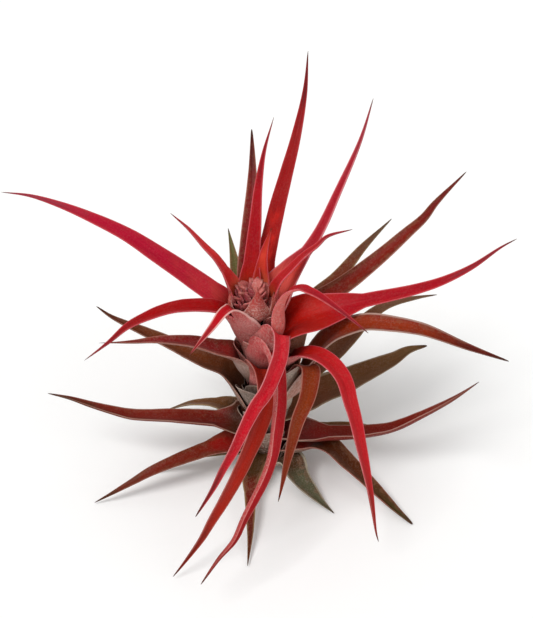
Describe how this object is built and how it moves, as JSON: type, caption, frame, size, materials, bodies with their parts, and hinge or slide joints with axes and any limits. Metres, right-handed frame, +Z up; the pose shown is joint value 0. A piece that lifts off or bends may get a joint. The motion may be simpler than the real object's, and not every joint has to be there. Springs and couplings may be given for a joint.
{
  "type": "sky plant",
  "caption": "Air plant with a leafy stem: thin channelled red, brown and olive leaves arch out all round a packed rosy flower head; it stands on its stem foot and lowest leaf tips.",
  "frame": {"origin": "middle of the plant's box, on the surface that it stands on", "axes": "+Z up along the stem; +Y away from the viewer of the picture; +X to the viewer's right"},
  "size_m": [0.2083, 0.1581, 0.1741],
  "materials": {
    "red_leaf": "satin",
    "brown_leaf": "satin",
    "olive_leaf": "satin",
    "head_bract": "matte",
    "stem": "matte"
  },
  "bodies": {
    "root": {"stem": "stem", "flower_head": "head_bract", "bract_front": "head_bract", "bract_right": "head_bract", "bract_left": "head_bract", "leaf_crown_tall": "red_leaf", "leaf_crown_back_left": "red_leaf", "leaf_crown_hook": "red_leaf", "leaf_crown_long_left": "red_leaf", "leaf_crown_curved_left": "red_leaf", "leaf_crown_small_front": "red_leaf", "leaf_crown_right": "red_leaf", "leaf_crown_short_right": "red_leaf", "leaf_crown_bract": "red_leaf", "leaf_right_long_red": "red_leaf", "leaf_front_hook": "red_leaf", "leaf_front_red_arch": "red_leaf", "leaf_front_red_inner": "red_leaf", "leaf_front_red_outer": "red_leaf", "leaf_front_red_low": "red_leaf", "leaf_crown_back_brown": "brown_leaf", "leaf_right_high_brown": "brown_leaf", "leaf_right_arch_brown": "brown_leaf", "leaf_front_orange": "brown_leaf", "leaf_right_low_brown": "brown_leaf", "leaf_right_foot_dark": "brown_leaf", "leaf_left_dark_red": "brown_leaf", "leaf_left_back_brown": "brown_leaf", "leaf_left_low": "brown_leaf", "leaf_left_foot": "brown_leaf", "leaf_right_back_green": "olive_leaf", "leaf_right_mid_green": "olive_leaf", "leaf_right_broad_olive": "olive_leaf", "leaf_foot_front_green": "olive_leaf", "leaf_foot_front_brown": "olive_leaf", "leaf_back_left_small_green": "olive_leaf", "leaf_back_high": "olive_leaf", "leaf_back_right_mid": "olive_leaf", "leaf_back_left_mid": "olive_leaf", "leaf_back_mid": "olive_leaf", "leaf_back_foot": "olive_leaf", "leaf_back_right_foot": "olive_leaf", "leaf_back_left_foot": "olive_leaf", "leaf_right_foot_small": "olive_leaf", "leaf_left_foot_small": "olive_leaf"}
  },
  "joints": []
}
